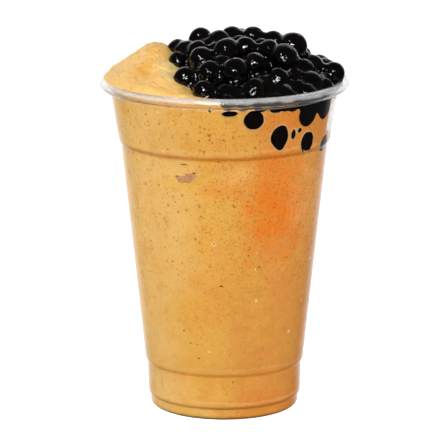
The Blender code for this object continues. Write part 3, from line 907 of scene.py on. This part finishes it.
def add_lens(bm, degrees, z, width, height, proud, wobble, steps, rings):
    """A lump that the wall presses flat: a domed front `proud` of the skin, and a point behind it."""
    middle = math.radians(degrees) - math.pi / 2
    out = wall_radius(z) + INTO_WALL

    def place(across, up, stand):
        wave = Vector((across * LENS_WAVE + degrees, up * LENS_WAVE, z * LENS_WAVE_UP))
        swell = 1.0 + wobble * noise.noise(wave)
        high = z + up * swell * height / 2
        flat = wall_radius(high) + INTO_WALL + stand
        turn = middle + across * swell * width / 2 / out
        return flat * math.cos(turn), flat * math.sin(turn), high

    front = bm.verts.new(place(0.0, 0.0, proud))
    back = bm.verts.new(place(0.0, 0.0, -LENS_DEPTH * min(width, height) - LENS_BACK))
    loops = []
    for ring in range(1, rings + 1):
        share = ring / rings
        stand = proud * (1.0 - LENS_FALL * share ** LENS_POWER)
        turns = [2 * math.pi * k / steps for k in range(steps)]
        loops.append([bm.verts.new(place(share * math.cos(t), share * math.sin(t), stand)) for t in turns])
    for k in range(steps):
        n = (k + 1) % steps
        bm.faces.new((front, loops[0][k], loops[0][n]))
        for a, b in zip(loops, loops[1:]):
            bm.faces.new((a[k], b[k], b[n], a[n]))
        bm.faces.new((loops[-1][k], back, loops[-1][n]))


def finish_marks(name, bm, material):
    """Marks of one kind as one piece."""
    obj = new_object(name, bm)
    obj.data.materials.append(material)
    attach(obj, "root")


def make_wall_pearls():
    """The sunken pearls, each with the pale drink round it."""
    pearls, halos = bmesh.new(), bmesh.new()
    for degrees, z, wide, high in WALL_PEARLS:
        wide, high = wide * WALL_PEARL_GROWTH, high * WALL_PEARL_GROWTH
        shape = (WALL_PEARL_PROUD, WALL_PEARL_WOBBLE, *PEARL_LENS)
        add_lens(pearls, degrees, z * MM, wide * MM, high * MM, *shape)
        shape = (HALO_PROUD, WALL_PEARL_WOBBLE, *PEARL_LENS)
        add_lens(halos, degrees, z * MM, (wide + HALO_RIM) * MM, (high + HALO_RIM) * MM, *shape)
    finish_marks("sunken_pearls", pearls, sunken_tapioca())
    finish_marks("pearl_halos", halos, stained("pearl_halo", *HALO_LOOK))


def make_specks():
    """Tea leaf and its dust, bubbles and one flat void, all pressed against the wall."""
    draw = random.Random(SPECK_SEED)
    leaves, specks, bubbles, voids = [bmesh.new() for _ in range(4)]
    for marks, mesh, stand in (
        (NOTED_SPECKS, leaves, LEAF_STAND),
        (NOTED_BUBBLES, bubbles, BUBBLE_STAND),
        (VOID_PATCH, voids, VOID_STAND),
    ):
        for degrees, z, width, height in marks:
            add_lens(mesh, degrees, z * MM, width * MM, height * MM, *stand, *MARK_LENS)
    for mesh, count, (small, large) in (
        (specks, SPECK_COUNT, SPECK_SIZES),
        (bubbles, BUBBLE_COUNT, BUBBLE_SIZES),
    ):
        for _ in range(count):
            degrees, z = draw.uniform(-180, 180), draw.triangular(*DUST_HEIGHTS) * MM
            size = (small + (large - small) * draw.random() ** SIZE_POWER) * MM
            add_lens(mesh, degrees, z, size * draw.uniform(*DUST_STRETCH), size, *DUST_STAND, *DUST_LENS)
    finish_marks("tea_leaves", leaves, stained("tea_leaf", *LEAF_LOOK))
    finish_marks("tea_specks", specks, stained("tea_dust", *DUST_LOOK))
    finish_marks("bubbles", bubbles, stained("bubble", *BUBBLE_LOOK))
    finish_marks("void", voids, stained("void", *VOID_LOOK))


# ---------------------------------------------------------------- stage, light, camera

def make_floor():
    """A plain pale floor, with a faint glow that takes the shadow's edge off."""
    bm = bmesh.new()
    bmesh.ops.create_circle(bm, cap_ends=True, segments=STAGE_STEPS, radius=STAGE_RADIUS)
    floor = new_object("floor", bm, smooth=False)
    floor.location.z = STAGE_Z
    n = Nodes("white_floor")
    n.set(Base_Color=n.mix(n.noise(STAGE_PATCH), *STAGE_TONES), Roughness=STAGE_ROUGHNESS)
    n.set(Specular_IOR_Level=0.0, Emission_Color=WHITE, Emission_Strength=STAGE_GLOW)
    floor.data.materials.append(n.material)
    floor.visible_glossy = floor.visible_diffuse = floor.visible_transmission = False


def make_world():
    """White behind the cup, and a dimmer even light on it."""
    world = bpy.data.worlds.new("studio")
    bpy.context.scene.world = world
    world.use_nodes = True
    nodes, links = world.node_tree.nodes, world.node_tree.links
    lit = nodes["Background"]
    lit.inputs["Color"].default_value = WHITE
    way = nodes.new("ShaderNodeSeparateXYZ")
    links.new(nodes.new("ShaderNodeTexCoord").outputs["Generated"], way.inputs[0])
    share = nodes.new("ShaderNodeMath")
    share.operation = "MULTIPLY"
    for socket, (axis, fade) in zip(share.inputs, WORLD_FADES):
        ramp = nodes.new("ShaderNodeMapRange")
        set_fade(ramp, *fade)
        links.new(way.outputs[axis], ramp.inputs["Value"])
        links.new(ramp.outputs["Result"], socket)
    links.new(share.outputs[0], lit.inputs["Strength"])
    seen = nodes.new("ShaderNodeBackground")
    seen.inputs["Color"].default_value = WHITE
    seen.inputs["Strength"].default_value = WORLD_SEEN
    ray = nodes.new("ShaderNodeLightPath")
    mix = nodes.new("ShaderNodeMixShader")
    links.new(ray.outputs["Is Camera Ray"], mix.inputs[0])
    links.new(lit.outputs[0], mix.inputs[1])
    links.new(seen.outputs[0], mix.inputs[2])
    links.new(mix.outputs[0], nodes["World Output"].inputs["Surface"])


def make_lights():
    """Round soft lamps, all aimed at the cup's upper half."""
    for name, place, width, watts, mirrored, lights in LAMPS:
        data = bpy.data.lights.new(name, "AREA")
        data.shape = "DISK"
        data.size = width
        data.energy = watts
        lamp = bpy.data.objects.new(name, data)
        lamp.location = place
        lamp.rotation_euler = (LAMP_AIM - lamp.location).to_track_quat("-Z", "Y").to_euler()
        lamp.visible_glossy = lamp.visible_transmission = mirrored
        lamp.visible_diffuse = lights
        bpy.context.scene.collection.objects.link(lamp)


def make_camera():
    """A long lens, a little above the lip."""
    data = bpy.data.cameras.new("camera")
    data.sensor_width = SENSOR
    data.lens = CAMERA_LENS
    camera = bpy.data.objects.new("camera", data)
    back = Vector((0.0, -math.cos(CAMERA_ELEVATION), math.sin(CAMERA_ELEVATION)))
    camera.location = CAMERA_AIM + back * CAMERA_DISTANCE
    camera.rotation_euler = (math.pi / 2 - CAMERA_ELEVATION, 0.0, 0.0)
    bpy.context.scene.collection.objects.link(camera)
    bpy.context.scene.camera = camera


def render_looks():
    """Plain colours, and enough bounces for the light to pass the cup's two walls."""
    scene = bpy.context.scene
    scene.view_settings.view_transform = "Standard"
    scene.cycles.caustics_refractive = False
    scene.cycles.caustics_reflective = False
    scene.cycles.transmission_bounces = BOUNCES
    scene.cycles.max_bounces = BOUNCES


make_cup()
make_smoothie()
make_pearls()
make_wall_pearls()
make_specks()
make_floor()
make_world()
make_lights()
make_camera()
render_looks()
